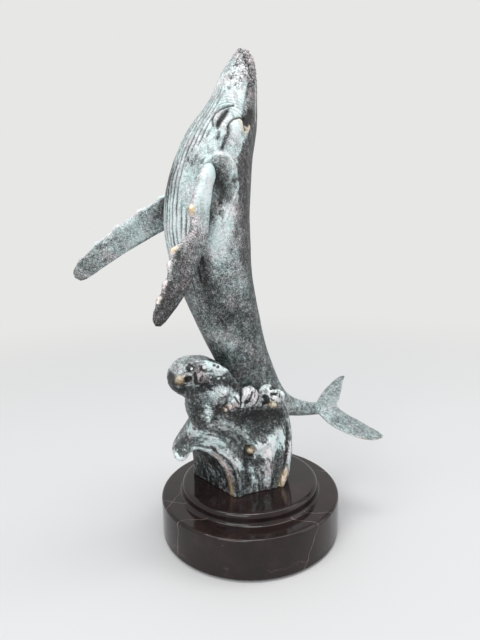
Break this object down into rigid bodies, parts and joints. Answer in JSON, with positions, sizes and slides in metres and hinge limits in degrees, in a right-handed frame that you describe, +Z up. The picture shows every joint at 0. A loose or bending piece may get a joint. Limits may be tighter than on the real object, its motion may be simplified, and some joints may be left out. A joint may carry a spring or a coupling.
{
  "type": "whale figurine",
  "caption": "Cast bronze humpback whale breaching from a curling wave, on a round stepped black marble base with felt beneath.",
  "frame": {"origin": "centre of the underside of the felt pad, where the figurine stands on a table", "axes": "+Z up toward the snout; -X toward the whale's belly, the side that the wave curls to; +X toward its back; -Y toward its left side"},
  "size_m": [0.1871, 0.115, 0.2921],
  "materials": {
    "marble_base": "polished near-black marble with thin brown and white veins",
    "felt_pad": "dark felt",
    "wave": "cast bronze with grey-brown and pale green patina",
    "whale_body": "cast bronze with pale blue-green patina over dark brown",
    "left_flipper": "cast bronze with pale blue-green patina, knobs rubbed to bare bronze",
    "right_flipper": "cast bronze with dark green patina, edges pale",
    "tail_flukes": "cast bronze with dark green patina, edges pale",
    "whale_pin": "bare bronze",
    "mounting_studs": "zinc plated steel",
    "stud_washers": "zinc plated steel",
    "stud_nuts": "zinc plated steel"
  },
  "bodies": {
    "root": {"marble_base": "marble_base", "felt_pad": "felt_pad", "wave": "wave", "whale_body": "whale_body", "left_flipper": "left_flipper", "right_flipper": "right_flipper", "tail_flukes": "tail_flukes", "whale_pin": "whale_pin", "mounting_studs": "mounting_studs", "stud_washers": "stud_washers", "stud_nuts": "stud_nuts"}
  },
  "joints": []
}
